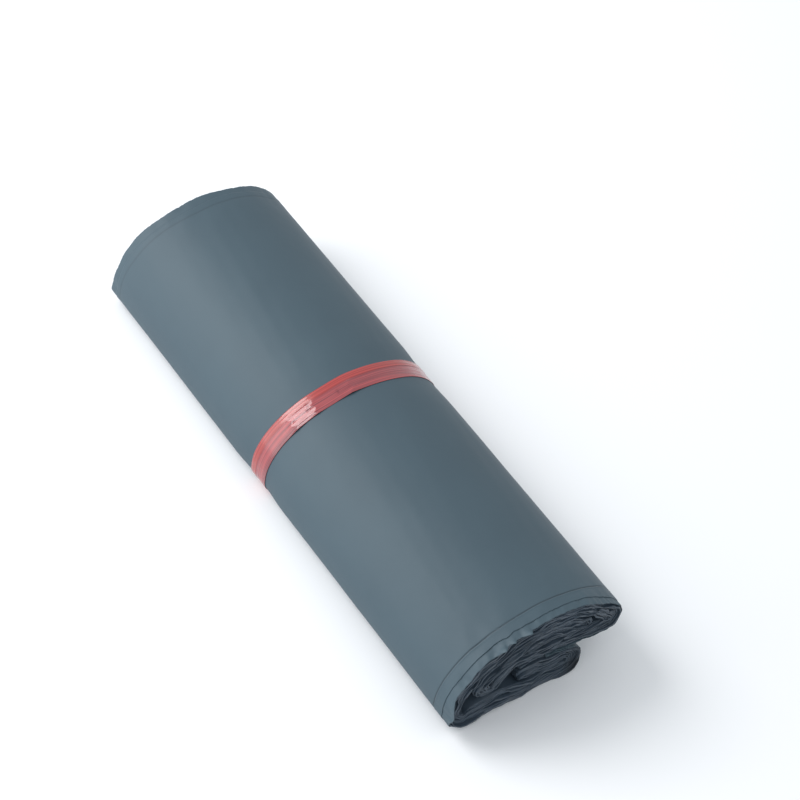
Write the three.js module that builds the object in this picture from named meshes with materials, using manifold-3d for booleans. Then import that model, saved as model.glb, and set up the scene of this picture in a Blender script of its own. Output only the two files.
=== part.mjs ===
// A roll of flat mailing bags, tied round its middle with a strip of film.
//
// A hundred bags lie flat on each other as one pack, side seams at the roll's two ends. The pack is wound
// up from its far edge, lies down under its own weight and ends with its last edge folded back on itself
// below, so its section is a flattened spiral: a domed top, a flat underside and a folded tail.
//
// Millimetres. +X runs along the roll, +Y across it to the side where the tail ends, +Z up. The origin is
// the middle of the roll's box, on the surface that it lies on.
import * as THREE from "three";
import { mergeVertices } from "three/addons/utils/BufferGeometryUtils.js";
import Module from "manifold-3d";

// ---- driving dimensions ----
const BAG_WIDTH = 300; // a bag across its side seams, which is the roll's length
const ROLL_WIDTH = 101.9; // over the roll's dome, along Y
const DOME_RISE = 38.7; // from the dome's widest level to its top
const DOME_LEVEL = 14.3; // height of the dome's widest level
const PACK = 8.3; // thickness of the pack of bags
const AIR = 0.55; // air between two turns of the pack
const TAIL_AIR = 1.4; // air between the folded tail and the run above it
const CORE_PACK = 5; // thickness at the inner edge, where the bags have slipped past each other
const TAIL_REACH = 25.3; // how far the folded tail reaches towards +Y
const TAIL_LAP = 32.8; // how far the tail's folded-back edge lies over it
const CORE_END = -17; // where the pack's inner edge ends, along Y

const STRAP_WIDTH = 11.8;
const STRAP_THICKNESS = 0.7;
const STRAP_X = -9.5; // the strap's middle
const STRAP_AIR = 0.3; // between the strap and the film under it
const STRAP_SIDE_AIR = 0.6; // on each side of the strap, in the waist that it pulls into the roll

// Where the dome's arcs hand over to the turns, as angles round the dome from +Y
const LEFT_CORNER = 190;
const RIGHT_TURN = 26;
const INNER_LEFT_TURN = 130;
const INNER_RIGHT_TURN = 56;
const THIN_FROM = 125; // the pack thins from here
const THIN_TO = 75; // to here

const ARC_STEP = 8; // degrees of turn for each straight facet

// ---- worked out ----
const PITCH = PACK + AIR;
const BOTTOM_Z = PACK / 2; // middle of the pack where it lies on the ground
const TAIL_TOP_Z = BOTTOM_Z + PITCH; // middle of the folded-back edge
const RETURN_Z = TAIL_TOP_Z + PACK + TAIL_AIR; // middle of the run above the tail
const CORE_Z = RETURN_Z + PACK / 2 + AIR + CORE_PACK / 2; // middle of the innermost run
const OUTER = { a: (ROLL_WIDTH - PACK) / 2, b: DOME_RISE - PACK / 2 };
const INNER = { a: OUTER.a - PITCH, b: OUTER.b - PITCH };
const TAIL_FOLD_Y = TAIL_REACH - PITCH / 2 - PACK / 2;

const radians = THREE.MathUtils.degToRad;

// A point of a dome arc, and the arc's outward normal there.
function onDome({ a, b }, degrees) {
  const c = Math.cos(radians(degrees));
  const s = Math.sin(radians(degrees));
  return {
    at: new THREE.Vector2(a * c, DOME_LEVEL + b * s),
    out: new THREE.Vector2(c / a, s / b).normalize(),
  };
}

// The circle that meets a dome arc at an angle and has the level line z = level as its lowest tangent.
function turnTo(dome, degrees, level) {
  const { at, out } = onDome(dome, degrees);
  const radius = (at.y - level) / (1 + out.y);
  const centre = at.clone().addScaledVector(out, -radius);
  return { centre, radius, angle: Math.atan2(out.y, out.x) };
}

// Points down the middle of the pack, from the tail's edge to the core, each with the pack's half thickness.
function middleOfPack() {
  const points = [];
  const full = PACK / 2;
  const thin = CORE_PACK / 2;
  const add = (y, z, half) => points.push({ p: new THREE.Vector2(y, z), half });

  // A clockwise stretch of an ellipse, both angles in radians.
  const sweep = (cy, cz, ry, rz, from, to, halfAt) => {
    const steps = Math.max(2, Math.ceil((from - to) / radians(ARC_STEP)));
    for (let i = 0; i <= steps; i++) {
      const t = from + ((to - from) * i) / steps;
      add(cy + ry * Math.cos(t), cz + rz * Math.sin(t), halfAt(t));
    }
  };
  const down = -Math.PI / 2;

  // the folded-back edge, the fold at the tail's tip and the underside
  const fold = PITCH / 2;
  add(TAIL_FOLD_Y - TAIL_LAP + fold, TAIL_TOP_Z, full);
  sweep(TAIL_FOLD_Y, BOTTOM_Z + fold, fold, fold, -down, down, () => full);

  // up the left side and over the dome
  const corner = turnTo(OUTER, LEFT_CORNER, BOTTOM_Z);
  const turned = corner.angle > 0 ? corner.angle - 2 * Math.PI : corner.angle;
  sweep(corner.centre.x, corner.centre.y, corner.radius, corner.radius, down, turned, () => full);
  sweep(0, DOME_LEVEL, OUTER.a, OUTER.b, radians(LEFT_CORNER), radians(RIGHT_TURN), () => full);

  // round the right-hand lobe and back above the tail
  const right = turnTo(OUTER, RIGHT_TURN, RETURN_Z);
  sweep(right.centre.x, right.centre.y, right.radius, right.radius, right.angle, down, () => full);

  // up inside the left side and over again, thinning into the core
  const left = turnTo(INNER, INNER_LEFT_TURN, RETURN_Z);
  sweep(left.centre.x, left.centre.y, left.radius, left.radius, down, left.angle - 2 * Math.PI, () => full);
  const thinning = (t) => {
    const share = THREE.MathUtils.smoothstep(-t, -radians(THIN_FROM), -radians(THIN_TO));
    return full + (thin - full) * share;
  };
  sweep(0, DOME_LEVEL, INNER.a, INNER.b, radians(INNER_LEFT_TURN), radians(INNER_RIGHT_TURN), thinning);

  // the innermost fold and the run to the pack's inner edge
  const core = turnTo(INNER, INNER_RIGHT_TURN, CORE_Z);
  sweep(core.centre.x, core.centre.y, core.radius, core.radius, core.angle, down, () => thin);
  add(CORE_END, CORE_Z, thin);

  // arcs share their end points, so one of each such pair goes
  return points.filter((q, i) => i === 0 || q.p.distanceTo(points[i - 1].p) > 0.01);
}

// The closed outline of the pack: out along its outer face and back along its inner one.
function packOutline() {
  const middle = middleOfPack();
  const faces = middle.map(({ p, half }, i) => {
    const before = middle[Math.max(0, i - 1)].p;
    const after = middle[Math.min(middle.length - 1, i + 1)].p;
    const along = after.clone().sub(before).normalize();
    const out = new THREE.Vector2(-along.y, along.x);
    return [p.clone().addScaledVector(out, half), p.clone().addScaledVector(out, -half)];
  });
  return [...faces.map((f) => f[0]), ...faces.map((f) => f[1]).reverse()];
}

// The same outline moved along Y until its box is centred on Y = 0.
function centred(outline) {
  const { min, max } = new THREE.Box2().setFromPoints(outline);
  return outline.map((p) => new THREE.Vector2(p.x - (min.x + max.x) / 2, p.y));
}

// The convex outline round some points, anticlockwise (Andrew's monotone chain).
function hullOf(points) {
  const sorted = [...points].sort((p, q) => p.x - q.x || p.y - q.y);
  const chain = (list) => {
    const kept = [];
    for (const p of list) {
      const turns = () => {
        const [q, r] = kept.slice(-2);
        return (r.x - q.x) * (p.y - q.y) - (r.y - q.y) * (p.x - q.x);
      };
      while (kept.length > 1 && turns() <= 1e-9) kept.pop();
      kept.push(p);
    }
    return kept.slice(0, -1);
  };
  return [...chain(sorted), ...chain([...sorted].reverse())];
}

// A convex outline moved inwards by a distance, corner by corner.
function inset(outline, distance) {
  const n = outline.length;
  return outline.map((p, i) => {
    const before = p.clone().sub(outline[(i + n - 1) % n]).normalize();
    const after = outline[(i + 1) % n].clone().sub(p).normalize();
    const inBefore = new THREE.Vector2(-before.y, before.x);
    const inAfter = new THREE.Vector2(-after.y, after.x);
    const mitre = inBefore.clone().add(inAfter).normalize();
    return p.clone().addScaledVector(mitre, distance / mitre.dot(inBefore));
  });
}

// An outline in Y and Z carried along X, from a start to an end.
function prism(outline, from, to, hole) {
  const shape = new THREE.Shape(outline);
  if (hole) shape.holes.push(new THREE.Path(hole));
  const geometry = new THREE.ExtrudeGeometry(shape, { depth: to - from, bevelEnabled: false });
  const turn = new THREE.Matrix4().makeBasis(
    new THREE.Vector3(0, 1, 0),
    new THREE.Vector3(0, 0, 1),
    new THREE.Vector3(1, 0, 0),
  );
  geometry.applyMatrix4(turn);
  geometry.translate(from, 0, 0);
  return geometry;
}

const wasm = await Module();
wasm.setup();

function toSolid(geometry) {
  const bare = geometry.clone();
  bare.deleteAttribute("normal");
  bare.deleteAttribute("uv");
  const merged = mergeVertices(bare, 1e-4);
  return new wasm.Manifold(
    new wasm.Mesh({
      numProp: 3,
      vertProperties: merged.attributes.position.array,
      triVerts: new Uint32Array(merged.index.array),
    }),
  );
}

function toGeometry(solid) {
  const { vertProperties, triVerts } = solid.getMesh();
  return new THREE.BufferGeometry()
    .setAttribute("position", new THREE.BufferAttribute(vertProperties, 3))
    .setIndex(new THREE.BufferAttribute(triVerts, 1));
}

function named(name, geometry, material) {
  const mesh = new THREE.Mesh(geometry, material);
  mesh.name = name;
  return mesh;
}

const greyFilm = new THREE.MeshStandardMaterial({ color: 0x66787f, roughness: 0.5, metalness: 0 });
const redFilm = new THREE.MeshStandardMaterial({ color: 0xb8484a, roughness: 0.28, metalness: 0 });

// ---- the roll, with the shallow waist that the strap pulls into it ----
const outline = centred(packOutline());
const taut = hullOf(outline); // a taut strap spans the notch above the tail
const waistDepth = STRAP_THICKNESS + STRAP_AIR;
const waistHalf = STRAP_WIDTH / 2 + STRAP_SIDE_AIR;
const around = inset(taut, -PACK); // well clear of the roll all round
const waistCutter = prism(around, STRAP_X - waistHalf, STRAP_X + waistHalf, inset(taut, waistDepth));
const roll = toSolid(prism(outline, -BAG_WIDTH / 2, BAG_WIDTH / 2)).subtract(toSolid(waistCutter));

// ---- the strap, its outer face level with the roll's ----
const strap = prism(
  taut,
  STRAP_X - STRAP_WIDTH / 2,
  STRAP_X + STRAP_WIDTH / 2,
  inset(taut, STRAP_THICKNESS),
);

const bundle = new THREE.Group();
bundle.add(named("bag_roll", toGeometry(roll), greyFilm));
bundle.add(named("tie_strap", strap, redFilm));

export default bundle;
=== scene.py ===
"""The looks of a roll of film mailing bags, tied round its middle with a strip of red film.

Laid out as an add-on: one operator makes the stage, one the outer films of the roll, one the turns of the
pack inside them and one the strap. Sizes inside the shape functions are millimetres, because a film roll is
measured in them, and `build_mesh` turns them to metres.
"""

import math

import bpy
import numpy as np
from bpy.props import FloatProperty, FloatVectorProperty, IntProperty, PointerProperty
from mathutils import Matrix, Vector


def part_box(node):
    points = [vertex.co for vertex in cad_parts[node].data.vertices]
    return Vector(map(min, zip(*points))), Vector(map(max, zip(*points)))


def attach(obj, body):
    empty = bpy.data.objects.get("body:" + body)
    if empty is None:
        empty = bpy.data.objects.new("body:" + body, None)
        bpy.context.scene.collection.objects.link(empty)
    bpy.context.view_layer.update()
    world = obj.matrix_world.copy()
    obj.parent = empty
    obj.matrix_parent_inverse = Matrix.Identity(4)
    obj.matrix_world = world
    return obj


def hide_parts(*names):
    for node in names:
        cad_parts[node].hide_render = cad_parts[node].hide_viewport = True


bl_info = {
    "name": "Film bag roll",
    "version": (1, 0, 0),
    "blender": (4, 5, 0),
    "location": "View3D > Sidebar > Bag roll",
    "description": "A roll of film mailing bags with crumpled ends, held by a red film strap",
    "category": "Object",
}

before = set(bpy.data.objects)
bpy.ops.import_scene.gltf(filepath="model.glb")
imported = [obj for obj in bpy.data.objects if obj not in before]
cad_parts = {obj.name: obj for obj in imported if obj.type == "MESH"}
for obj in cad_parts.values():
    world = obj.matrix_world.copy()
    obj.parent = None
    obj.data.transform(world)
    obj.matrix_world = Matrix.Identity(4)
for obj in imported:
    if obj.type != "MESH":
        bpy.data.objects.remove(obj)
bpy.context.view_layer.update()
ROLL_LOW, ROLL_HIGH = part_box("bag_roll")
STRAP_LOW, STRAP_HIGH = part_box("tie_strap")

MM = 0.001
ROLL_NODE = "bag_roll"
STRAP_NODE = "tie_strap"

# ---- sizes that come from the frame, in millimetres ----
NEAR_END = ROLL_HIGH.x / MM
FAR_END = ROLL_LOW.x / MM
ROLL_TOP = ROLL_HIGH.z / MM
STRAP_MIDDLE = (STRAP_LOW.x + STRAP_HIGH.x) / 2 / MM
STRAP_WIDTH = (STRAP_HIGH.x - STRAP_LOW.x) / MM

# ---- the wound pack's middle line ----
PACK = 8.3  # thickness of the pack of bags
DOME_CENTRE = (2.13, 14.3)  # middle of the ellipse that the dome follows, as Y and Z
DOME = (46.8, 34.55)  # its half axes, at the middle of the pack
INNER_DOME = (38.1, 25.9)  # the same for the turn inside it
CURVE_STEPS = 40  # steps that the smooth curve takes between two guide points

# Each guide point is Y, Z and the pack's thickness there.
TAIL_GUIDE = [
    (-8.5, 19.0, 9.3), (-2, 18.8, 9.2), (6, 17.8, 8.9), (13, 16.8, 8.7), (18.5, 15.8, 8.5),
    (22.2, 13.2, 8.5), (23.25, 9.6, 8.5), (21.5, 6.0, 8.5), (17, 4.4, 8.6), (8, 4.4, 8.8),
    (-8, 4.6, 9.2), (-22, 4.7, 9.2), (-34, 4.6, 9.0), (-40.2, 5.6, 8.6),
]
RETURN_GUIDE = [
    (45.0, 27.0, 8.3), (43.6, 24.4, 8.3), (40.0, 23.1, 8.3), (31, 23.7, 8.3), (22, 24.5, 8.3),
    (10, 26.5, 8.0), (0, 28.1, 7.8), (-9, 28.7, 7.8), (-16, 27.3, 7.8), (-20.4, 23.6, 7.8),
    (-23.7, 20.3, 7.8), (-27.6, 21.2, 7.6), (-30.6, 25.4, 7.4), (-30.0, 30.0, 7.4),
]
CORE_GUIDE = [
    (26.5, 34.4, 5.0), (30.0, 31.8, 4.2), (27.5, 30.5, 3.8), (21, 31.1, 3.8), (12, 32.2, 3.6),
    (2, 33.7, 3.4), (-6, 34.6, 3.2),
]


def dome_points(centre, half_axes, first, last, step, thickness):
    """Points of an ellipse from one angle to another, each with the pack's thickness."""
    turn = np.radians(np.arange(first, last, step))
    y = centre[0] + half_axes[0] * np.cos(turn)
    z = centre[1] + half_axes[1] * np.sin(turn)
    return [tuple(p) for p in np.column_stack([y, z, np.full_like(y, thickness)])]


def smooth_curve(points, step):
    """A centripetal Catmull-Rom curve through the points, then resampled at an even step along it.

    Between two points it is the cubic whose slopes at both ends lean on the neighbours, each weighted by
    the square root of its distance. Returns the distance along the curve and the curve's rows.
    """
    inner = np.asarray(points, float)
    rows = np.vstack([2 * inner[0] - inner[1], inner, 2 * inner[-1] - inner[-2]])
    gap = np.sqrt(np.linalg.norm(np.diff(rows[:, :2], axis=0), axis=1))[:, None]
    before, here, after, later = rows[:-3], rows[1:-2], rows[2:-1], rows[3:]
    g0, g1, g2 = gap[:-2], gap[1:-1], gap[2:]
    slope_in = g1 * ((here - before) / g0 - (after - before) / (g0 + g1) + (after - here) / g1)
    slope_out = g1 * ((after - here) / g1 - (later - here) / (g1 + g2) + (later - after) / g2)
    t = np.linspace(0, 1, CURVE_STEPS, endpoint=False)[None, :, None]
    cubic = (
        (2 * t**3 - 3 * t**2 + 1) * here[:, None]
        + (t**3 - 2 * t**2 + t) * slope_in[:, None]
        + (3 * t**2 - 2 * t**3) * after[:, None]
        + (t**3 - t**2) * slope_out[:, None]
    )
    fine = np.vstack([cubic.reshape(-1, rows.shape[1]), inner[-1:]])
    reach = np.r_[0, np.cumsum(np.linalg.norm(np.diff(fine[:, :2], axis=0), axis=1))]
    even = np.linspace(0, reach[-1], int(np.ceil(reach[-1] / step)) + 1)
    return even, np.column_stack([np.interp(even, reach, column) for column in fine.T])


PACK_REACH, PACK_LINE = smooth_curve(
    TAIL_GUIDE
    + dome_points(DOME_CENTRE, DOME, 188, 27, -9, PACK)
    + RETURN_GUIDE
    + dome_points(DOME_CENTRE, INNER_DOME, 126, 60, -11, 7.4)
    + CORE_GUIDE,
    0.5,
)
PACK_ALONG = np.gradient(PACK_LINE[:, :2], axis=0)
PACK_ALONG /= np.linalg.norm(PACK_ALONG, axis=1)[:, None]
PACK_OUT = np.column_stack([-PACK_ALONG[:, 1], PACK_ALONG[:, 0]])
PACK_LENGTH = PACK_REACH[-1]
PACK_ANGLE = np.unwrap(np.arctan2(PACK_ALONG[:, 1], PACK_ALONG[:, 0]))
PACK_TURNING = np.convolve(np.abs(np.gradient(PACK_ANGLE, PACK_REACH)), np.full(15, 1 / 15), "same")

# Places along the pack, as distances from the tail's folded-back edge
TIP = float(PACK_REACH[np.argmax(np.where(PACK_REACH < 60, PACK_LINE[:, 0], -99))])
LEFT_CORNER = float(PACK_REACH[np.argmin(PACK_LINE[:, 0])])
CREST = float(PACK_REACH[np.argmax(PACK_LINE[:, 1])])
RIGHT_LOBE = float(PACK_REACH[np.argmax(PACK_LINE[:, 0])])

WAIST_RUN = 15.0  # how far from the strap's edge the film is drawn in
WAIST_EDGE = 0.5  # the waist is full up to this distance from the strap's edge
WAIST_DEPTH = 0.5


def smoothstep(low, high, value):
    """0 below low, 1 above high, and the cubic 3t^2 - 2t^3 between them."""
    t = np.clip((value - low) / (high - low), 0, 1)
    return t * t * (3 - 2 * t)


def bell(value, middle, width):
    """A rounded bump of height 1: e to the minus square of the distance from its middle over its width."""
    return np.exp(-(((value - middle) / width) ** 2))


def waves(places, lengths, seed, count=9):
    """Smooth noise of about -1 to 1 from seeded cosine waves.

    Each wave runs in a random direction with a wavelength near the one given for each coordinate, and the
    waves' mean is scaled so that its usual size is about a half.
    """
    rng = np.random.default_rng(seed)
    turns = rng.normal(0, 0.75, (count, len(lengths))) / np.asarray(lengths)
    turns += np.sign(turns) * 0.35 / np.asarray(lengths)
    phases = rng.uniform(0, 2 * math.pi, count)
    total = 0
    for turn, phase in zip(turns, phases):
        total = total + np.cos(sum(2 * math.pi * k * p for k, p in zip(turn, places)) + phase)
    return total * math.sqrt(2 / count) * 0.6


def layered_waves(places, layers):
    """The sum of several layers of waves. Each layer is a height, its wavelengths and its seed."""
    return sum(height * waves(places, lengths, seed) for height, lengths, seed in layers)


NEAR_LOOSE = 38.0  # how far from the near end the films are loose
FAR_LOOSE = 34.0  # the same at the far end
FAR_FREEDOM = 0.5  # how loose they are at the far end, where the near end is 1


def looseness(x):
    """How free the films are to move: 0 along the middle of the roll, rising smoothly towards both ends."""
    return smoothstep(NEAR_LOOSE, 0, NEAR_END - x) + FAR_FREEDOM * smoothstep(FAR_LOOSE, 0, x - FAR_END)


def waist_share(x):
    """1 under the strap, falling smoothly to 0 on both sides of it."""
    half = STRAP_WIDTH / 2
    return smoothstep(half + WAIST_RUN, half + WAIST_EDGE, np.abs(x - STRAP_MIDDLE))


GAPE = 2.1  # how far loose films spread into the hollows of the roll
LAP_GAPE = 1.25  # how much more the run along the bottom spreads, as a share of that
LAP_BEGIN = (32.0, 40.0)  # that run's spread sets in between these distances from the tail's tip
CORNER_ROOM = (5.0, 14.0)  # and dies out between these distances before the left corner
TIP_ROOM = 11.0  # no spread this near to the tail's tip, where the pack turns tightly
LOBE_GAPES = [(-14.0, 8.0, 0.9), (15.0, 8.0, 0.5)]  # beside the right lobe: place, width and share


def gape(reach):
    """How far the pack's inner face spreads where the films are loose: along the tail and the bottom, and on
    both sides of the right lobe, but not where the pack turns too tightly for it."""
    left = smoothstep(LEFT_CORNER - CORNER_ROOM[0], LEFT_CORNER - CORNER_ROOM[1], reach)
    low = left * (1 - bell(reach, TIP, TIP_ROOM))
    lap = LAP_GAPE * smoothstep(TIP + LAP_BEGIN[0], TIP + LAP_BEGIN[1], reach) * left
    lobe = sum(share * bell(reach, RIGHT_LOBE + place, width) for place, width, share in LOBE_GAPES)
    return GAPE * (low + lap + lobe)


# The stir of the loose films, across the roll and upwards: heights, wavelengths in Y, Z and X, and seeds
STIR_ACROSS = [(1.0, (19, 15, 26), 11), (0.22, (7, 6, 12), 12)]
STIR_UP = [(1.0, (21, 14, 26), 13), (0.22, (8, 6, 12), 14)]
SKIN_LEVELS = (1.02, 0.9)  # the stir grows from the first of these levels of the dome to the second
SKIN_STIR = 0.12  # how much the outermost films stir, where the inner ones are 1
TAIL_TIP = 23.0  # Y of the folded tail's tip, which stays round
TIP_CALM = 0.7  # how much of the stir is taken away there
TIP_CALM_WIDTH = 14.0
TIP_CALM_TOP = (26.0, 18.0)  # Z between which the calm sets in
FLOOR_CALM = 9.0  # below this height the films move less and less up and down
END_SAG = 0.9  # how far the films sink over the last stretch before the near end
END_SAG_RUN = 7.0
LOBE_SAG = 3.8  # how far the left end of the inner turn sinks at the loose ends
LOBE_SAG_PLACE = -29.0  # its Y
LOBE_SAG_WIDTH = 12.0
LOBE_SAG_BOTTOM = (11.0, 18.0)  # Z between which this sag sets in


def pack_point(reach, share, x):
    """A point of the wound pack: how far along its middle line, how far across it (0 inner face, 1 outer
    face) and where along the roll. It is the middle line's point moved along its normal by that share of the
    thickness, and at the loose ends the inner face spreads into the roll's hollows. Then the whole section is
    pressed in where the strap ties it, and stirred towards the two ends by one smooth field, so that
    neighbouring films bend together and never cross."""
    y = np.interp(reach, PACK_REACH, PACK_LINE[:, 0])
    z = np.interp(reach, PACK_REACH, PACK_LINE[:, 1])
    thick = np.interp(reach, PACK_REACH, PACK_LINE[:, 2])
    out_y = np.interp(reach, PACK_REACH, PACK_OUT[:, 0])
    out_z = np.interp(reach, PACK_REACH, PACK_OUT[:, 1])
    loose = looseness(x)
    out = (share - 0.5) * thick - (1 - share) * gape(reach) * loose
    y = y + out_y * out
    z = z + out_z * out
    waist = waist_share(x)
    y = y * (1 - WAIST_DEPTH / DOME[0] * waist)
    z = z + WAIST_DEPTH * waist * (1 - z / (ROLL_TOP / 2))
    inside = smoothstep(*SKIN_LEVELS, dome_level(y, z))
    calm = 1 - TIP_CALM * bell(y, TAIL_TIP, TIP_CALM_WIDTH) * smoothstep(*TIP_CALM_TOP, z)
    stir = loose * (SKIN_STIR + (1 - SKIN_STIR) * inside) * calm
    dy = layered_waves((y, z, x), STIR_ACROSS)
    dz = layered_waves((y, z, x), STIR_UP)
    sag = END_SAG * smoothstep(END_SAG_RUN, 0, NEAR_END - x) * inside
    lobe = bell(y, LOBE_SAG_PLACE, LOBE_SAG_WIDTH) * smoothstep(*LOBE_SAG_BOTTOM, z)
    sag = sag + LOBE_SAG * loose * lobe * inside
    low = smoothstep(0, FLOOR_CALM, z)
    return y + stir * dy, z + stir * dz * low - sag * low


UNDERSIDE_ROOM = 1.0  # how far below the floor the dome's level reaches 1


def dome_level(y, z):
    """1 on the outline of the roll's domed outer face, less inside it. Below the dome's middle it is how
    near the point is to the straight sides or the underside, counted the same way."""
    half_width, height = DOME[0] + PACK / 2, DOME[1] + PACK / 2
    above = z - DOME_CENTRE[1]
    rise = np.where(above > 0, above / height, -above / (DOME_CENTRE[1] + UNDERSIDE_ROOM))
    return np.sqrt(((y - DOME_CENTRE[0]) / half_width) ** 2 + rise**2)


# ---- meshes ----
def build_mesh(name, sheets, material, ring_length=None):
    """One object from closed sheets of film.

    Each sheet is a grid of points in millimetres, their UV places in millimetres and a mark from 0 to 1. Its
    columns go once round the film's own section, so they close on themselves. Its rows run along the film:
    they close on themselves too when the length of the ring is given, and otherwise a strip of faces across
    the film's thickness closes the first row and the last one."""
    points, faces, coords, marks, base = [], [], [], [], 0
    for grid, uv, mark in sheets:
        rows, columns, _ = grid.shape
        index = base + np.arange(rows * columns).reshape(rows, columns)
        walk = np.vstack([index, index[:1]]) if ring_length else index
        walk = np.hstack([walk, walk[:, :1]])
        skin = np.stack([walk[:-1, :-1], walk[:-1, 1:], walk[1:, 1:], walk[1:, :-1]], -1).reshape(-1, 4)
        skin_uv = uv.reshape(-1, 2)[skin - base]
        faces.append(skin)
        coords.append(skin_uv)
        if ring_length:
            skin_uv[-columns:, 2:, 0] += ring_length
        else:
            half = columns // 2
            here, after = slice(half - 1), slice(1, half)
            first, last = index[0], index[-1]
            first_back, last_back = first[::-1], last[::-1]
            caps = [
                np.stack([first[here], first_back[here], first_back[after], first[after]], -1),
                np.stack([last[here], last[after], last_back[after], last_back[here]], -1),
            ]
            faces += caps
            coords += [uv.reshape(-1, 2)[cap - base] for cap in caps]
        points.append(grid.reshape(-1, 3))
        marks.append(mark.ravel())
        base += rows * columns
    faces = np.vstack(faces)
    mesh = bpy.data.meshes.new(name)
    mesh.vertices.add(base)
    mesh.vertices.foreach_set("co", np.vstack(points).ravel() * MM)
    mesh.loops.add(faces.size)
    mesh.loops.foreach_set("vertex_index", faces.ravel())
    mesh.polygons.add(len(faces))
    mesh.polygons.foreach_set("loop_start", np.arange(0, faces.size, 4))
    mesh.polygons.foreach_set("loop_total", np.full(len(faces), 4))
    mesh.polygons.foreach_set("use_smooth", np.ones(len(faces), bool))
    layer = mesh.uv_layers.new(name="film")
    layer.data.foreach_set("uv", np.vstack(coords).ravel() * MM)
    mesh.attributes.new("mark", "FLOAT", "POINT").data.foreach_set("value", np.concatenate(marks))
    mesh.update()
    mesh.validate()
    mesh.materials.append(material)
    piece = bpy.data.objects.new(name, mesh)
    bpy.context.scene.collection.objects.link(piece)
    return piece


EDGE_SIDES = np.array([0.75, -0.75])  # sides of the two points that round a film's cut edge


def around_film(places):
    """The order in which a film's section is walked: along its outer face from the far end to the near end,
    round the near edge, back along its inner face and round the far edge. Each place is a share of the
    film's length and a side, 1 for the outer face and -1 for the inner one."""
    share = np.r_[places, 1.0, 1.0, places[::-1], 0.0, 0.0]
    side = np.r_[np.ones(len(places)), EDGE_SIDES, -np.ones(len(places)), -EDGE_SIDES]
    return share, side


TURN_DETAIL = 9.0  # how much closer the rows are for each radian that the pack turns in a millimetre
ROW_COUNT_STEP = 0.25  # step at which the density of rows is summed
WAIST_STATIONS = np.array([6.2, 7.5, 9.5, 12.5, 16.5, 21.5])  # from the strap's middle


def stations(near, far, waist=WAIST_STATIONS):
    """Shares of a film's length where it has points: at the given distances from its near and far ends, and
    on both sides of the strap, where the waist bends it."""
    length = NEAR_END - FAR_END
    middle = STRAP_MIDDLE + np.r_[-waist[::-1], 0, waist] - FAR_END
    return np.r_[np.asarray(far) / length, middle / length, 1 - np.asarray(near)[::-1] / length]


def close_rows(first, last, step):
    """Places along the pack for rows of points: a step apart where it runs straight, and closer where it
    turns, because its outer films sweep round there. The count of rows up to a place is the integral of their
    density, and the places are where that count is whole."""
    fine = np.arange(first, last, ROW_COUNT_STEP)
    density = (1 + TURN_DETAIL * np.interp(fine, PACK_REACH, PACK_TURNING)) / step
    count = np.cumsum(density) * ROW_COUNT_STEP
    return np.interp(np.linspace(count[0], count[-1], int(count[-1]) + 1), count, fine)


FILM_WANDER = 0.6  # how far a film's edge strays from a straight cut
RAGGED = 0.12  # how deep its fine ragged edge is


def film_ends(reach, near_edge, far_edge, seed, wander=FILM_WANDER):
    """Where a film's two edges lie along the roll: a straight cut that wanders slowly, with a fine ragged
    edge."""
    near = layered_waves((reach,), [(wander, (45,), seed), (RAGGED, (3.5,), seed + 1)])
    far = layered_waves((reach,), [(wander, (50,), seed + 2), (RAGGED, (3.0,), seed + 3)])
    return near_edge + near, far_edge + far


# ---- materials ----
def linear(code):
    """A colour's linear red, green, blue and alpha from its sRGB hex value."""
    parts = [int(code[i : i + 2], 16) / 255 for i in (0, 2, 4)]
    return tuple(c / 12.92 if c <= 0.04045 else ((c + 0.055) / 1.055) ** 2.4 for c in parts) + (1.0,)


def add(tree, kind, inputs=None, **settings):
    """Adds a node with its settings. An input is a value, or another node's output to link."""
    made = tree.nodes.new(kind)
    for name, value in settings.items():
        setattr(made, name, value)
    for name, value in (inputs or {}).items():
        socket = made.inputs[name]
        if isinstance(value, bpy.types.NodeSocket):
            tree.links.new(value, socket)
        else:
            socket.default_value = value
    return made


def new_material(name):
    """A material with only its output left in its tree."""
    material = bpy.data.materials.new(name)
    material.use_nodes = True
    material.node_tree.nodes.clear()
    output = material.node_tree.nodes.new("ShaderNodeOutputMaterial")
    return material, material.node_tree, output


TONE_DRIFT = 38.0  # size of the film's slow drifts in tone
PEEL_SIZE, PEEL_DEPTH = 0.9, 0.012  # the film's orange-peel grain
RIPPLE_SIZE, RIPPLE_DEPTH = 9.0, 0.12  # its slow ripples


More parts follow.
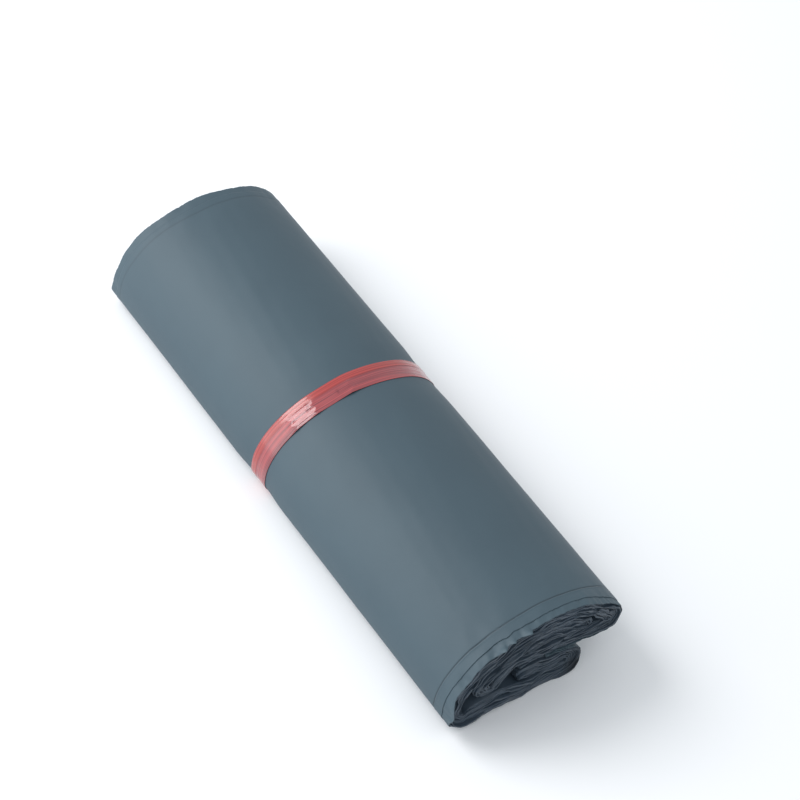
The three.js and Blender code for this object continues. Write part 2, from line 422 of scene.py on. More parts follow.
def blown_film(name, pale, deep, sealed, roughness):
    """Blown polyethylene film: a satin, very smooth skin that drifts a little in tone over a few centimetres,
    with the faint orange-peel grain of a blown bubble, slow ripples where it isn't pulled tight, and darker
    lines where two films are sealed together and the gloss is pressed out. The grain is drawn at 0.9 mm,
    twice as coarse as the real one, so that it breaks up the highlight at all. On the wound sheaves the
    marked tone is the tail tip's instead: partly the film's black inner face, partly painted shade."""
    material, tree, output = new_material(name)
    place = add(tree, "ShaderNodeTexCoord").outputs["Object"]
    drift_scale = 1 / (TONE_DRIFT * MM)
    drift = add(tree, "ShaderNodeTexNoise", {"Vector": place, "Scale": drift_scale, "Detail": 3.0})
    tone = add(
        tree, "ShaderNodeMix", {"Factor": drift.outputs["Fac"], "A": deep, "B": pale}, data_type="RGBA"
    )
    mark = add(tree, "ShaderNodeAttribute", attribute_name="mark")
    marked = add(
        tree,
        "ShaderNodeMix",
        {"Factor": mark.outputs["Fac"], "A": tone.outputs["Result"], "B": sealed},
        data_type="RGBA",
    )
    grain = {"Vector": place, "Detail": 2.0}
    peel = add(tree, "ShaderNodeTexNoise", {**grain, "Scale": 1 / (PEEL_SIZE * MM)})
    ripple = add(tree, "ShaderNodeTexNoise", {**grain, "Scale": 1 / (RIPPLE_SIZE * MM)})
    fine = add(tree, "ShaderNodeBump", {"Height": peel.outputs["Fac"], "Distance": PEEL_DEPTH * MM})
    slow = add(
        tree,
        "ShaderNodeBump",
        {"Height": ripple.outputs["Fac"], "Distance": RIPPLE_DEPTH * MM, "Normal": fine.outputs["Normal"]},
    )
    skin = add(
        tree,
        "ShaderNodeBsdfPrincipled",
        {
            "Base Color": marked.outputs["Result"],
            "Roughness": roughness,
            "IOR": 1.5,
            "Specular IOR Level": 0.42,
            "Normal": slow.outputs["Normal"],
        },
    )
    tree.links.new(skin.outputs["BSDF"], output.inputs["Surface"])
    return material


DRAWN_LENGTH, DRAWN_WIDTH, DRAWN_DEPTH = 70.0, 0.7, 0.055  # the strap's drawn lines
DRAWN_RANGE = {"From Min": 0.38, "From Max": 0.62}  # how sharply they part from the film between them
FOLD_BLUR = 0.15  # half width of the change from double film to single


def strapping_film(settings):
    """Drawn polypropylene strapping: thin, clear red and glossy. One layer over the slate film looks mauve
    and two layers look orange-red. Drawing leaves fine lengthwise lines, about 0.7 mm apart, where the film
    is thicker. The creases, the wrinkles and the fold's edge get a darker tone, which is painted shade."""
    material, tree, output = new_material("red_drawn_polypropylene")
    place = add(tree, "ShaderNodeUVMap", uv_map="film").outputs["UV"]
    scale = (1 / (DRAWN_LENGTH * MM), 1 / (DRAWN_WIDTH * MM), 1.0)
    stretched = add(tree, "ShaderNodeMapping", {"Vector": place, "Scale": scale}).outputs["Vector"]
    lines = add(tree, "ShaderNodeTexNoise", {"Vector": stretched, "Scale": 1.0, "Detail": 3.0})
    contrast = add(tree, "ShaderNodeMapRange", {"Value": lines.outputs["Fac"], **DRAWN_RANGE})
    across = add(tree, "ShaderNodeSeparateXYZ", {"Vector": place})
    fold = fold_line(settings)
    doubled = add(
        tree,
        "ShaderNodeMapRange",
        {
            "Value": across.outputs["Y"],
            "From Min": (fold + FOLD_BLUR) * MM,
            "From Max": (fold - FOLD_BLUR) * MM,
        },
    )
    layers = [
        add(
            tree,
            "ShaderNodeMix",
            {"Factor": contrast.outputs["Result"], "A": tuple(dark), "B": tuple(clear)},
            data_type="RGBA",
        )
        for dark, clear in (
            (settings.single_dark, settings.single_clear),
            (settings.double_dark, settings.double_clear),
        )
    ]
    film = add(
        tree,
        "ShaderNodeMix",
        {
            "Factor": doubled.outputs["Result"],
            "A": layers[0].outputs["Result"],
            "B": layers[1].outputs["Result"],
        },
        data_type="RGBA",
    )
    # painted shade: the mark darkens the strap at its creases, its wrinkles and the fold's edge
    mark = add(tree, "ShaderNodeAttribute", attribute_name="mark")
    creased = add(
        tree,
        "ShaderNodeMix",
        {"Factor": mark.outputs["Fac"], "A": film.outputs["Result"], "B": tuple(settings.crease_shade_colour)},
        data_type="RGBA",
    )
    relief = add(tree, "ShaderNodeBump", {"Height": lines.outputs["Fac"], "Distance": DRAWN_DEPTH * MM})
    skin = add(
        tree,
        "ShaderNodeBsdfPrincipled",
        {
            "Base Color": creased.outputs["Result"],
            "Roughness": 0.26,
            "IOR": 1.49,
            "Specular IOR Level": 0.45,
            "Coat Weight": 0.48,
            "Coat Roughness": 0.15,
            "Normal": relief.outputs["Normal"],
        },
    )
    tree.links.new(skin.outputs["BSDF"], output.inputs["Surface"])
    return material


# ---- properties ----
def length_property(name, description, default, **settings):
    """A length, which is kept in metres and given here in millimetres."""
    return FloatProperty(
        name=name, description=description, default=default * MM, unit="LENGTH", precision=5, **settings
    )


def colour_property(name, description, code):
    """A colour, given as its sRGB hex value."""
    return FloatVectorProperty(
        name=name, description=description, default=linear(code), subtype="COLOR", size=4, min=0.0, max=1.0
    )


class RollProperties(bpy.types.PropertyGroup):
    """Sizes and colours of the roll's films"""

    film: length_property("Film", "Thickness that one film is drawn with", 0.16)
    seam_inset: length_property("Seam inset", "From the near end to the heat-sealed side seam", 9.9)
    lip_inset: length_property("Lip inset", "From the near end to the edge of the outermost film", 3.85)
    far_lip_inset: length_property("Far lip inset", "From the far end to the edge of the outermost film", 4.6)
    far_seam_inset: length_property("Far seam inset", "From the far end to the other side seam", 8.4)
    sheaves: IntProperty(
        name="Sheaves", description="Sheaves of bags across the pack's thickness", default=15, min=6
    )
    crumple: FloatProperty(
        name="Crumple", description="How much the loose ends bend and gape", default=1.0, min=0.0, max=1.5
    )
    pale: colour_property("Pale film", "The film's lighter tone", "435660")
    deep: colour_property("Deep film", "The film's darker tone", "3D4E58")
    sealed: colour_property("Seam", "The film's tone along a seam", "2A343B")
    # the sheaves' deep tone is darker than the outer film's: partly the bags' black inner faces, partly
    # painted shade of the roll's end
    edge_pale: colour_property("Pale edges", "The lighter tone of the films' cut ends", "445260")
    edge_deep_and_shade: colour_property("Deep edges", "The darker tone of the films' cut ends", "343F49")
    # the tail's tip is darkened towards this tone: partly the film's black inner face, partly painted shade
    inside: colour_property("Inner face", "The film's black inner face, seen at the tail's tip", "14181C")


class StrapProperties(bpy.types.PropertyGroup):
    """Sizes and colours of the strap"""

    film: length_property("Film", "Thickness that the strap is drawn with", 0.22)
    crease_lift: length_property("Crease lift", "How far the strap stands off the roll at a crease", 0.42)
    fold_share: FloatProperty(
        name="Folded share",
        description="Share of the width that lies double",
        default=0.34,
        subtype="FACTOR",
        min=0.0,
        max=0.5,
    )
    single_clear: colour_property("Single layer", "One layer over the slate film", "A6494C")
    single_dark: colour_property("Single layer, lines", "Its lengthwise lines", "74353C")
    double_clear: colour_property("Double layer", "Two layers", "AC403E")
    double_dark: colour_property("Double layer, lines", "Their lengthwise lines", "8E302E")
    # painted shade laid on the strap's creases, wrinkles and fold edge
    crease_shade_colour: colour_property("Creases", "The tone of a crease", "6A2C34")


class StageProperties(bpy.types.PropertyGroup):
    """The floor, the lights and the camera"""

    floor: colour_property("Floor", "The paper that the roll lies on", "F4F5F7")
    room: FloatProperty(
        name="Room light", description="Strength of the white room's light", default=0.80, min=0.0
    )
    key_power: FloatProperty(
        name="Key power", description="Power of the large soft light", default=12.0, unit="POWER"
    )
    key_size: FloatProperty(
        name="Key size", description="Width of the large soft light", default=0.85, unit="LENGTH"
    )
    card_power: FloatProperty(
        name="Card power", description="Power of the pale card", default=4.5, unit="POWER"
    )
    lens: FloatProperty(name="Lens", description="Focal length", default=108.0, unit="CAMERA")
    distance: FloatProperty(
        name="Distance", description="From the camera to the roll", default=1.1635, unit="LENGTH"
    )


class BAGROLL_OT_stage(bpy.types.Operator):
    """Makes the floor, the soft lights and the camera"""

    bl_idname = "bagroll.stage"
    bl_label = "Stage"

    def execute(self, context):
        settings = context.scene.bag_roll_stage
        make_floor(settings)
        make_lights(settings)
        make_camera(settings)
        return {"FINISHED"}


class BAGROLL_OT_outer_films(bpy.types.Operator):
    """Makes the outermost film and the one under it"""

    bl_idname = "bagroll.outer_films"
    bl_label = "Outer films"

    def execute(self, context):
        make_outer_films(context.scene.bag_roll)
        return {"FINISHED"}


class BAGROLL_OT_turns(bpy.types.Operator):
    """Makes the sheaves of bags that are wound inside the outer films"""

    bl_idname = "bagroll.turns"
    bl_label = "Turns of the pack"

    def execute(self, context):
        make_turns(context.scene.bag_roll)
        return {"FINISHED"}


class BAGROLL_OT_strap(bpy.types.Operator):
    """Makes the red strap"""

    bl_idname = "bagroll.strap"
    bl_label = "Strap"

    def execute(self, context):
        make_strap(context.scene.bag_roll_strap)
        return {"FINISHED"}


class BAGROLL_PT_panel(bpy.types.Panel):
    """Lists the sizes, the colours and the steps"""

    bl_label = "Bag roll"
    bl_idname = "BAGROLL_PT_panel"
    bl_space_type = "VIEW_3D"
    bl_region_type = "UI"
    bl_category = "Bag roll"

    def draw(self, context):
        for group in ("bag_roll", "bag_roll_strap", "bag_roll_stage"):
            settings = getattr(context.scene, group)
            box = self.layout.box()
            for name in type(settings).__annotations__:
                box.prop(settings, name)
        for step in ("stage", "outer_films", "turns", "strap"):
            self.layout.operator("bagroll." + step)


# ---- outer films ----
SEAM_WANDER = 0.35  # how far a seam strays from a straight line
SEAM_DEPTH, SEAM_HALF_WIDTH, SEAM_MARK = 0.2, 0.28, 0.85  # the near seam's groove and how dark it is
RIDGE_PLACE, RIDGE_HEIGHT, RIDGE_HALF_WIDTH = 0.75, 0.09, 0.35  # the ridge beside it
FAR_SEAM_DEPTH, FAR_SEAM_HALF_WIDTH = 0.07, 0.5
FAR_MARK, FAR_MARK_HALF_WIDTH = 0.3, 0.45
# The outer film's own waves: heights, wavelengths along the pack and along the roll, and seeds
UNDULATIONS = [(0.10, (34, 120), 31), (0.05, (14, 60), 32)]
FLUTTER = [(0.30, (15, 30), 34), (0.14, (5, 12), 35)]
FAR_FLUTTER = [(0.15, (12, 25), 36)]
FAR_FLUTTER_RUN = 12.0
STRAP_PRESS = 0.85  # how much of its undulations the strap presses flat
LIP_CRUMPLE = 0.9  # how ragged the outermost film's edge is beside the crest
CORNER_TONGUE = 5.0  # how far the second film reaches out at the roll's left corner
DENTS = [  # along the roll, along the pack from the crest, half length, half width, depth
    (115.0, -27.0, 3.0, 1.5, -0.24),
    (109.0, -32.0, 3.4, 1.7, -0.30),
    (-125.0, 7.0, 2.2, 1.4, -0.16),
]
TEETH = [  # where corners of the second film stick out: along the pack from the crest, half width, length
    (-12.0, 2.8, 2.8),
    (-19.0, 1.6, 1.6),
    (-25.0, 3.2, 2.6),
]
TOOTH_RISE = 1.5  # how many of its half widths a corner takes to rise, of two
TOOTH_LIFT = 1.9  # how far the tips of those corners stand up
TOOTH_RUN = 2.0  # over this distance on both sides of the near end


def teeth(reach):
    """How far the second film's corners stick out: a row of triangles that rise slowly and fall steeply."""
    total = 0
    for place, half, length in TEETH:
        t = (reach - CREST - place) / half
        total = total + length * np.clip(np.minimum((1 + t) / TOOTH_RISE, (1 - t) / (2 - TOOTH_RISE)), 0, 1)
    return total


def seam_lines(reach, settings):
    """Where the near and the far side seams lie along the roll: each a straight line that strays a little."""
    near = NEAR_END - settings.seam_inset / MM + SEAM_WANDER * waves((reach,), (70,), 33)
    far = FAR_END + settings.far_seam_inset / MM + SEAM_WANDER * waves((reach,), (60,), 37)
    return near, far


def outer_relief(reach, x, settings):
    """How far the outer film stands out of its smooth wrap: slow lengthwise undulations, a few dents, the
    pressed lines of the side seams, and small waves that grow from the seams to the edges."""
    slow = layered_waves((reach, x), UNDULATIONS)
    dents = sum(
        depth * bell(x, along, length) * bell(reach, CREST + place, width)
        for along, place, length, width, depth in DENTS
    )
    near, far = seam_lines(reach, settings)
    ridge = RIDGE_HEIGHT * bell(x, near + RIDGE_PLACE, RIDGE_HALF_WIDTH)
    seam = ridge - SEAM_DEPTH * bell(x, near, SEAM_HALF_WIDTH)
    far_seam = -FAR_SEAM_DEPTH * bell(x, far, FAR_SEAM_HALF_WIDTH)
    flutter = smoothstep(near, NEAR_END, x) * layered_waves((reach, x), FLUTTER)
    far_run = smoothstep(FAR_END + FAR_FLUTTER_RUN, FAR_END, x)
    far_flutter = far_run * layered_waves((reach, x), FAR_FLUTTER)
    tips = smoothstep(NEAR_END - TOOTH_RUN, NEAR_END + TOOTH_RUN, x)
    lift = TOOTH_LIFT * teeth(reach) / TEETH[0][2] * tips
    pressed = (slow + dents) * (1 - STRAP_PRESS * waist_share(x))
    return pressed + seam + far_seam + flutter + far_flutter + lift


def outer_sheet(settings, first, last, step, ends, depth, places):
    """A film wrapped on the pack's outer face: the pack's outermost point for each place along the pack and
    along the roll, moved out by the relief and in by the depth of the films over it."""
    rows = close_rows(first, last, step)
    share, side = around_film(places)
    reach = np.broadcast_to(rows[:, None], (len(rows), len(share)))
    near_x, far_x = ends(reach)
    x = far_x + (near_x - far_x) * share
    film = settings.film / MM
    thick = np.interp(reach, PACK_REACH, PACK_LINE[:, 2])
    out = outer_relief(reach, x, settings) - depth + (side - 1) / 2 * film
    y, z = pack_point(reach, 1 + out / thick, x)
    z = np.maximum(z, film * (1 - side) / 2 + depth * 0.5)
    near, far = seam_lines(reach, settings)
    mark = SEAM_MARK * bell(x, near, SEAM_HALF_WIDTH) + FAR_MARK * bell(x, far, FAR_MARK_HALF_WIDTH)
    return np.stack([x, y, z], -1), np.stack([reach, x], -1), mark


CRUMPLE_PLACE, CRUMPLE_WIDTH, CRUMPLE_WAVE = CREST - 19, 9.0, 7.0  # of the outermost film's near edge
TONGUE_PLACE, TONGUE_WIDTH = LEFT_CORNER + 4, 7.0  # of the second film's corner at the roll's left


def lip_ends(settings):
    """The outermost film's two edges. Beside the crest the near one is crumpled."""

    def ends(reach):
        near_edge, far_edge = NEAR_END - settings.lip_inset / MM, FAR_END + settings.far_lip_inset / MM
        near, far = film_ends(reach, near_edge, far_edge, 41)
        crumple = bell(reach, CRUMPLE_PLACE, CRUMPLE_WIDTH) * waves((reach,), (CRUMPLE_WAVE,), 45)
        return near + LIP_CRUMPLE * crumple, far

    return ends


def second_ends(reach):
    """The second film's two edges. Small corners of the near one stick out beside the crest, and it reaches
    out at the roll's left corner."""
    near, far = film_ends(reach, NEAR_END, FAR_END, 51)
    return near + teeth(reach) + CORNER_TONGUE * bell(reach, TONGUE_PLACE, TONGUE_WIDTH), far


# Where the two outer films begin and stop along the pack, and the steps between their rows
OUTER_RUN, OUTER_STEP = (TIP - 14, RIGHT_LOBE + 34), 1.6
SECOND_RUN, SECOND_STEP = (TIP - 22, RIGHT_LOBE + 42), 0.9
FILM_AIR = 0.06  # between the two outer films
# Stations of the outermost film, measured from its two edges: close together at the seams
OUTER_NEAR = np.r_[
    [0, 0.3, 0.7, 1.2, 1.8, 2.5, 3.3, 4.1],
    np.arange(4.7, 7.6, 0.2),
    [8, 9.5, 12, 15, 19, 24, 30],
    np.arange(36, 135, 5),
]
OUTER_FAR = np.r_[0, 0.4, 1, 1.8, np.arange(2.6, 5.1, 0.3), 6, 7.5, 11, 15, 20, 25, 30, np.arange(36, 115, 5)]
SECOND_NEAR = [0, 0.3, 0.7, 1.2, 1.8, 2.5, 3.3, 4.5, 6, 8, 11, 15, 20, 30, 45, 70, 110]
SECOND_FAR = [0, 0.4, 1, 2, 3.4, 5, 7.5, 11, 16, 25, 40, 70, 110]


def make_outer_films(settings):
    """The outermost film stops short of the film under it at both ends, which shows as a fine step."""
    film = blown_film("slate_blown_polyethylene", settings.pale, settings.deep, settings.sealed, 0.58)
    places = stations(OUTER_NEAR, OUTER_FAR)
    outer = outer_sheet(settings, *OUTER_RUN, OUTER_STEP, lip_ends(settings), 0.0, places)
    places = stations(SECOND_NEAR, SECOND_FAR)
    under = settings.film / MM + FILM_AIR
    second = outer_sheet(settings, *SECOND_RUN, SECOND_STEP, second_ends, under, places)
    for name, sheet in (("outer_film", outer), ("second_film", second)):
        piece = build_mesh(name, [sheet], film)
        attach(piece, "root")
        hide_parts(ROLL_NODE)


# ---- the turns of the pack ----
SHEAVES_A_PIECE = 5
SHEAF_STEP = 2.4  # between a sheaf's rows of points
STAGGER = 0.4  # how much further one sheaf reaches than the next
LAP_REACH = 3.0  # how far the run along the bottom sticks out past the dome
LAP_SLOPE = 0.8  # share of that by which its innermost sheaf stays back behind its outermost
LAP_STARTS = (TIP - 12, TIP + 8)  # along the pack
LAP_STOPS = (LEFT_CORNER + 6, LEFT_CORNER - 10)
TIP_BLACK_AND_SHADE = 0.85  # how dark the outer sheaves are made at the tail's tip: partly their black inner face where they turn, partly painted shade under the dome
TIP_DARK_PLACE, TIP_DARK_WIDTH = TIP + 3, 6.0
TIP_DARK_ENDS = (NEAR_END - 6, NEAR_END - 2)
SWELL_SLOW, SWELL_QUICK = 0.8, 0.14  # how strongly a sheaf's share swells, in long and in short waves
SHEAF_FILL = 0.94  # the most of its share that a sheaf fills
SHEAF_INSET = 0.8  # from the roll's ends to the edges of a sheaf
SHEAF_WANDER = 0.9  # how far those edges stray from a straight cut
SHEAF_FLOOR = 0.3  # the lowest that a sheaf lies
INNER_AIR = 0.2  # between the outer films and the first sheaf
# Stations of a sheaf, measured from its two edges
SHEAF_NEAR = [0, 0.5, 1.1, 1.9, 3, 4.4, 6.2, 8.6, 12, 17, 25, 38, 60, 100]
SHEAF_FAR = [0, 0.7, 1.8, 3.5, 6, 10, 17, 30, 60, 110]


def sheaf_shares(reach, x, settings):
    """Where each sheaf of bags lies across the pack, and half its thickness, both as shares of the pack.

    Each sheaf has a share that swells and shrinks smoothly towards the ends, and the shares are laid one on
    the next and scaled to fill the pack. So sheaves bunch up and gape but keep their order. A sheaf is never
    thicker than its bags, so what a swollen share doesn't fill is air."""
    loose = looseness(x) * settings.crumple
    swell = []
    for k in range(settings.sheaves):
        layers = [(SWELL_SLOW, (34, 60), 100 + k), (SWELL_QUICK, (13, 26), 200 + k)]
        swell.append(np.exp(loose * layered_waves((reach, x), layers)))
    swell = np.array(swell)
    total = swell.sum(0)
    centre = (np.cumsum(swell, 0) - swell / 2) / total
    half = np.minimum(SHEAF_FILL * swell / total, 1 / settings.sheaves) / 2
    return centre, half


def make_turns(settings):
    """The pack, wound up: sheaves of bags whose edges are staggered and crumpled at the two ends."""
    count = settings.sheaves
    # a darker copy of the slate film: partly the bags' black inner faces, partly painted shade at the roll's
    # ends
    dark = blown_film("slate_film_edges_and_shade", settings.edge_pale, settings.edge_deep_and_shade, settings.inside, 0.4)
    share, side = around_film(stations(SHEAF_NEAR, SHEAF_FAR, WAIST_STATIONS[::2]))
    rows = close_rows(0, PACK_LENGTH, SHEAF_STEP)
    reach = np.broadcast_to(rows[:, None], (len(rows), len(share)))
    rng = np.random.default_rng(7)
    stagger = np.cumsum(rng.normal(0, STAGGER, count))
    stagger -= stagger.mean()
    inset = 2 * settings.film / MM + INNER_AIR
    lap = LAP_REACH * smoothstep(*LAP_STARTS, reach) * smoothstep(*LAP_STOPS, reach)
    sheaves = []
    for k in range(count):
        outwards = k / (count - 1)
        near_edge, far_edge = NEAR_END - SHEAF_INSET + stagger[k], FAR_END + SHEAF_INSET + stagger[k]
        near_x, far_x = film_ends(reach, near_edge, far_edge, 300 + 5 * k, SHEAF_WANDER)
        near_x = near_x + lap * (1 - LAP_SLOPE * (1 - outwards))
        x = far_x + (near_x - far_x) * share
        centre, half = sheaf_shares(reach, x, settings)
        thick = np.interp(reach, PACK_REACH, PACK_LINE[:, 2])
        across = (centre[k] + side * half[k]) * (1 - (inset - outer_relief(reach, x, settings)) / thick)
        y, z = pack_point(reach, across, x)
        z = np.maximum(z, SHEAF_FLOOR)
        # painted shade and the black inner face at the tail's tip, darkest on the outer sheaves
        tip_black_and_shade = TIP_BLACK_AND_SHADE * outwards * bell(reach, TIP_DARK_PLACE, TIP_DARK_WIDTH) * smoothstep(*TIP_DARK_ENDS, x)
        sheaves.append((np.stack([x, y, z], -1), np.stack([reach, x], -1), tip_black_and_shade))
    for number, start in enumerate(range(0, count, SHEAVES_A_PIECE)):
        piece = build_mesh(f"wound_sheaves_{number + 1}", sheaves[start : start + SHEAVES_A_PIECE], dark)
        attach(piece, "root")
        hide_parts(ROLL_NODE)


# ---- the strap ----
STRAP_AIR = 0.08  # under the strap
STRAP_FLOOR = 0.02  # the lowest that it lies
STRAP_STEP = 0.5
STRAP_COLUMNS = 41
DIRECTIONS = 1440  # in which the roll's furthest point is looked for
SWAY, SWAYS = 0.12, 7  # how far the strap strays sideways, and how often round the roll
DOUBLED = 0.16  # how much higher its face is where it lies double
DOUBLED_BLUR = 0.2  # half width of that step
STIFFENED = (-0.4, 0.8)  # from the fold, between which the creases grow to their full height
FOLDED_CREASE = 0.25  # share of a crease's height where the strap lies double
RIDGES = [(0.03, (400, 1.6), 62), (0.02, (300, 0.9), 63)]  # heights, wavelengths and seeds
# how deep the wrinkles dip, and how dark their painted shade is
WRINKLE_DEPTH, WRINKLE_SHADE = 0.12, 0.8
# how dark the painted shade along the fold's edge is, and its half width
FOLD_SHADE, FOLD_SHADE_WIDTH = 0.7, 0.22
CREASES = [  # places along the strap from the roll's right side, and shares of the lift there
    (49.0, 0.0),
    (59.5, 1.5),
    (66.5, 0.3),
    (80.0, 1.0),
    (92.5, 1.3),
    (99.0, 0.0),
]
CREASE_WANDER = 1.1  # how far a crease strays from a straight line across the strap
WRINKLES = [  # along the strap, across it, half length, half width
    (81.8, -0.6, 0.5, 1.3),
    (83.0, 1.2, 0.6, 1.0),
    (66.0, 1.4, 0.7, 1.2),
]


def fold_line(settings):
    """How far across the strap its folded edge lies, from its middle."""
    return STRAP_WIDTH * (settings.fold_share - 0.5)


def taut_path(step):
    """The line that a taut strap takes round the roll: for each direction, the point of the roll's outer
    face that lies furthest that way, which leaves the hollows out."""
    y, z = pack_point(PACK_REACH, np.ones_like(PACK_REACH), np.full_like(PACK_REACH, STRAP_MIDDLE))
    face = np.column_stack([y, z])
    turn = np.linspace(0, 2 * math.pi, DIRECTIONS + 1)[:-1]
    furthest = np.argmax(face @ np.vstack([np.cos(turn), np.sin(turn)]), axis=0)
    kept = furthest[np.r_[True, np.diff(furthest) != 0]]
    ring = face[kept]
    ring = np.vstack([ring, ring[:1]])
    reach = np.r_[0, np.cumsum(np.linalg.norm(np.diff(ring, axis=0), axis=1))]
    even = np.linspace(0, reach[-1], int(reach[-1] / step) + 1)[:-1]
    path = np.column_stack([np.interp(even, reach, c) for c in ring.T])
    soft = (np.roll(path, 1, 0) + 2 * path + np.roll(path, -1, 0)) / 4
    return even, soft, reach[-1]


def crease_heights(reach, path, out, lift):
    """How far a creased strap stands off the taut path. Each crease stands off by its share of the lift, and
    between two of them the film runs straight: the height is the straight line's distance from the path along
    the path's normal."""
    place, height = np.asarray(CREASES).T
    height = height * lift
    foot, lifted = (np.column_stack([np.interp(place, reach, c) for c in line.T]) for line in (path, out))
    corners = foot + height[:, None] * lifted
    straight = np.column_stack([np.interp(reach, place, corner) for corner in corners.T])
    inside = (reach >= place[0]) & (reach <= place[-1])
    return np.where(inside, np.sum((straight - path) * out, axis=1), 0.0)


def make_strap(settings):
    """A flat ring of film round the taut path. Its far edge is folded over and lies round, and the rest has a
    few creases across it, with straight stretches between them, fine lengthwise ridges and small wrinkles."""
    reach, path, length = taut_path(STRAP_STEP)
    along = np.roll(path, -1, 0) - np.roll(path, 1, 0)
    along /= np.linalg.norm(along, axis=1)[:, None]
    out = np.column_stack([along[:, 1], -along[:, 0]])
    heights = crease_heights(reach, path, out, settings.crease_lift / MM)
    width = np.linspace(0.5, -0.5, STRAP_COLUMNS) * STRAP_WIDTH
    across = np.r_[width, width[::-1]][None, :]
    side = np.r_[np.ones(STRAP_COLUMNS), -np.ones(STRAP_COLUMNS)][None, :]
    r = np.broadcast_to(reach[:, None], (len(reach), 2 * STRAP_COLUMNS))
    x = STRAP_MIDDLE + across + SWAY * waves((r,), (length / SWAYS,), 61)
    fold = fold_line(settings)
    single = smoothstep(fold + STIFFENED[0], fold + STIFFENED[1], across)
    ridges = layered_waves((r, across), RIDGES)
    wrinkles = sum(
        bell(r, place, half_length) * bell(across, middle, half_width)
        for place, middle, half_length, half_width in WRINKLES
    )
    doubled = DOUBLED * smoothstep(fold + DOUBLED_BLUR, fold - DOUBLED_BLUR, across)
    thickness = settings.film / MM + ridges + doubled - WRINKLE_DEPTH * wrinkles
    height = np.where(side > 0, thickness, 0.0) + STRAP_AIR
    slant = CREASE_WANDER * waves((across, r), (5.5, 22), 64)
    crease = np.interp(r + slant, reach, heights)
    height = height + crease * (FOLDED_CREASE + (1 - FOLDED_CREASE) * single)
    y = path[:, :1] + out[:, :1] * height
    z = np.maximum(path[:, 1:] + out[:, 1:] * height, STRAP_FLOOR)
    # painted shade along the fold's edge and in the wrinkles
    mark = FOLD_SHADE * bell(across, fold, FOLD_SHADE_WIDTH) + WRINKLE_SHADE * wrinkles
    on_film = np.stack(np.broadcast_arrays(r, across), -1)
    sheet = (np.stack([x, y, z], -1), on_film, np.broadcast_to(mark, r.shape))
    piece = build_mesh("strap_film", [sheet], strapping_film(settings), length)
    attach(piece, "root")
    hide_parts(STRAP_NODE)


# ---- stage ----
CAMERA_TURN = {"azimuth": 48.78, "elevation": 49.30, "roll": 9.38}  # degrees
CAMERA_AIM = Vector((-0.0006, 0.0253, 0.0347))
KEY_PLACE = Vector((-0.82, -0.60, 0.95))
KEY_AIM = Vector((0, 0, 0.03))
CARD_PLACE = Vector((-0.40, -0.92, 0.30))
CARD_SIZE = 0.8
ROOM_COLOUR = (0.93, 0.97, 1.0, 1.0)
FLOOR_SIZE = 12.0


def make_floor(settings):
    """A plain pale floor, large enough to reach past every view's edge."""
    bpy.ops.mesh.primitive_plane_add(size=FLOOR_SIZE, location=(0, 0, 0))
    floor = bpy.context.object
    floor.name = "floor"
    material, tree, output = new_material("white_paper")
    paper = add(tree, "ShaderNodeBsdfPrincipled", {"Base Color": tuple(settings.floor), "Roughness": 0.9})
    tree.links.new(paper.outputs["BSDF"], output.inputs["Surface"])
    floor.data.materials.append(material)


def add_light(name, shape, size, power, place, aim):
    """An area light at a place, turned to an aim."""
    light = bpy.data.lights.new(name, "AREA")
    light.shape = shape
    light.size = size
    light.energy = power
    lamp = bpy.data.objects.new(name, light)
    lamp.location = place
    lamp.rotation_mode = "QUATERNION"
    lamp.rotation_quaternion = (aim - place).to_track_quat("-Z", "Y")
    bpy.context.scene.collection.objects.link(lamp)


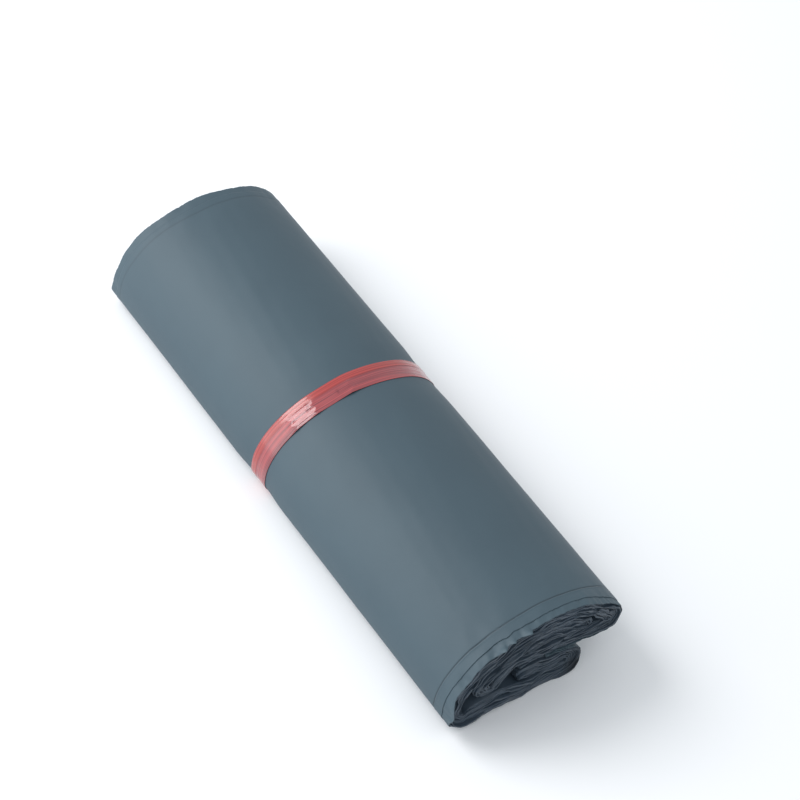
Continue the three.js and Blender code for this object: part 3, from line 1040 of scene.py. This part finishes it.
def make_lights(settings):
    """A white room, one large soft light above the roll's far end, and a pale card low on its left."""
    world = bpy.data.worlds.new("studio")
    bpy.context.scene.world = world
    world.use_nodes = True
    background = world.node_tree.nodes["Background"]
    background.inputs["Color"].default_value = ROOM_COLOUR
    background.inputs["Strength"].default_value = settings.room
    add_light("key", "DISK", settings.key_size, settings.key_power, KEY_PLACE, KEY_AIM)
    add_light("card", "SQUARE", CARD_SIZE, settings.card_power, CARD_PLACE, KEY_AIM)
    bpy.context.scene.view_settings.view_transform = "Standard"


def make_camera(settings):
    """A long lens that looks down on the roll from beyond its near end."""
    azimuth, elevation, roll = (math.radians(angle) for angle in CAMERA_TURN.values())
    level = math.cos(elevation)
    back = Vector((math.sin(azimuth) * level, -math.cos(azimuth) * level, math.sin(elevation)))
    right = Vector((math.cos(azimuth), math.sin(azimuth), 0.0))
    up = back.cross(right)
    turn = Matrix((right, up, back)).transposed() @ Matrix.Rotation(roll, 3, "Z")
    camera = bpy.data.cameras.new("camera")
    camera.lens = settings.lens
    camera.sensor_width = 36.0
    camera.clip_start, camera.clip_end = 0.05, 20.0
    holder = bpy.data.objects.new("camera", camera)
    holder.matrix_world = Matrix.Translation(CAMERA_AIM + back * settings.distance) @ turn.to_4x4()
    bpy.context.scene.collection.objects.link(holder)
    bpy.context.scene.camera = holder


CLASSES = (
    RollProperties,
    StrapProperties,
    StageProperties,
    BAGROLL_OT_stage,
    BAGROLL_OT_outer_films,
    BAGROLL_OT_turns,
    BAGROLL_OT_strap,
    BAGROLL_PT_panel,
)


def register():
    """Registers the classes and gives every scene its three groups of settings."""
    for cls in CLASSES:
        bpy.utils.register_class(cls)
    bpy.types.Scene.bag_roll = PointerProperty(type=RollProperties)
    bpy.types.Scene.bag_roll_strap = PointerProperty(type=StrapProperties)
    bpy.types.Scene.bag_roll_stage = PointerProperty(type=StageProperties)


def unregister():
    """Takes back what register did, in the opposite order."""
    del bpy.types.Scene.bag_roll_stage
    del bpy.types.Scene.bag_roll_strap
    del bpy.types.Scene.bag_roll
    for cls in reversed(CLASSES):
        bpy.utils.unregister_class(cls)


def main():
    """Makes the stage and every piece."""
    register()
    bpy.ops.bagroll.stage()
    bpy.ops.bagroll.outer_films()
    bpy.ops.bagroll.turns()
    bpy.ops.bagroll.strap()


if __name__ == "__main__":
    main()
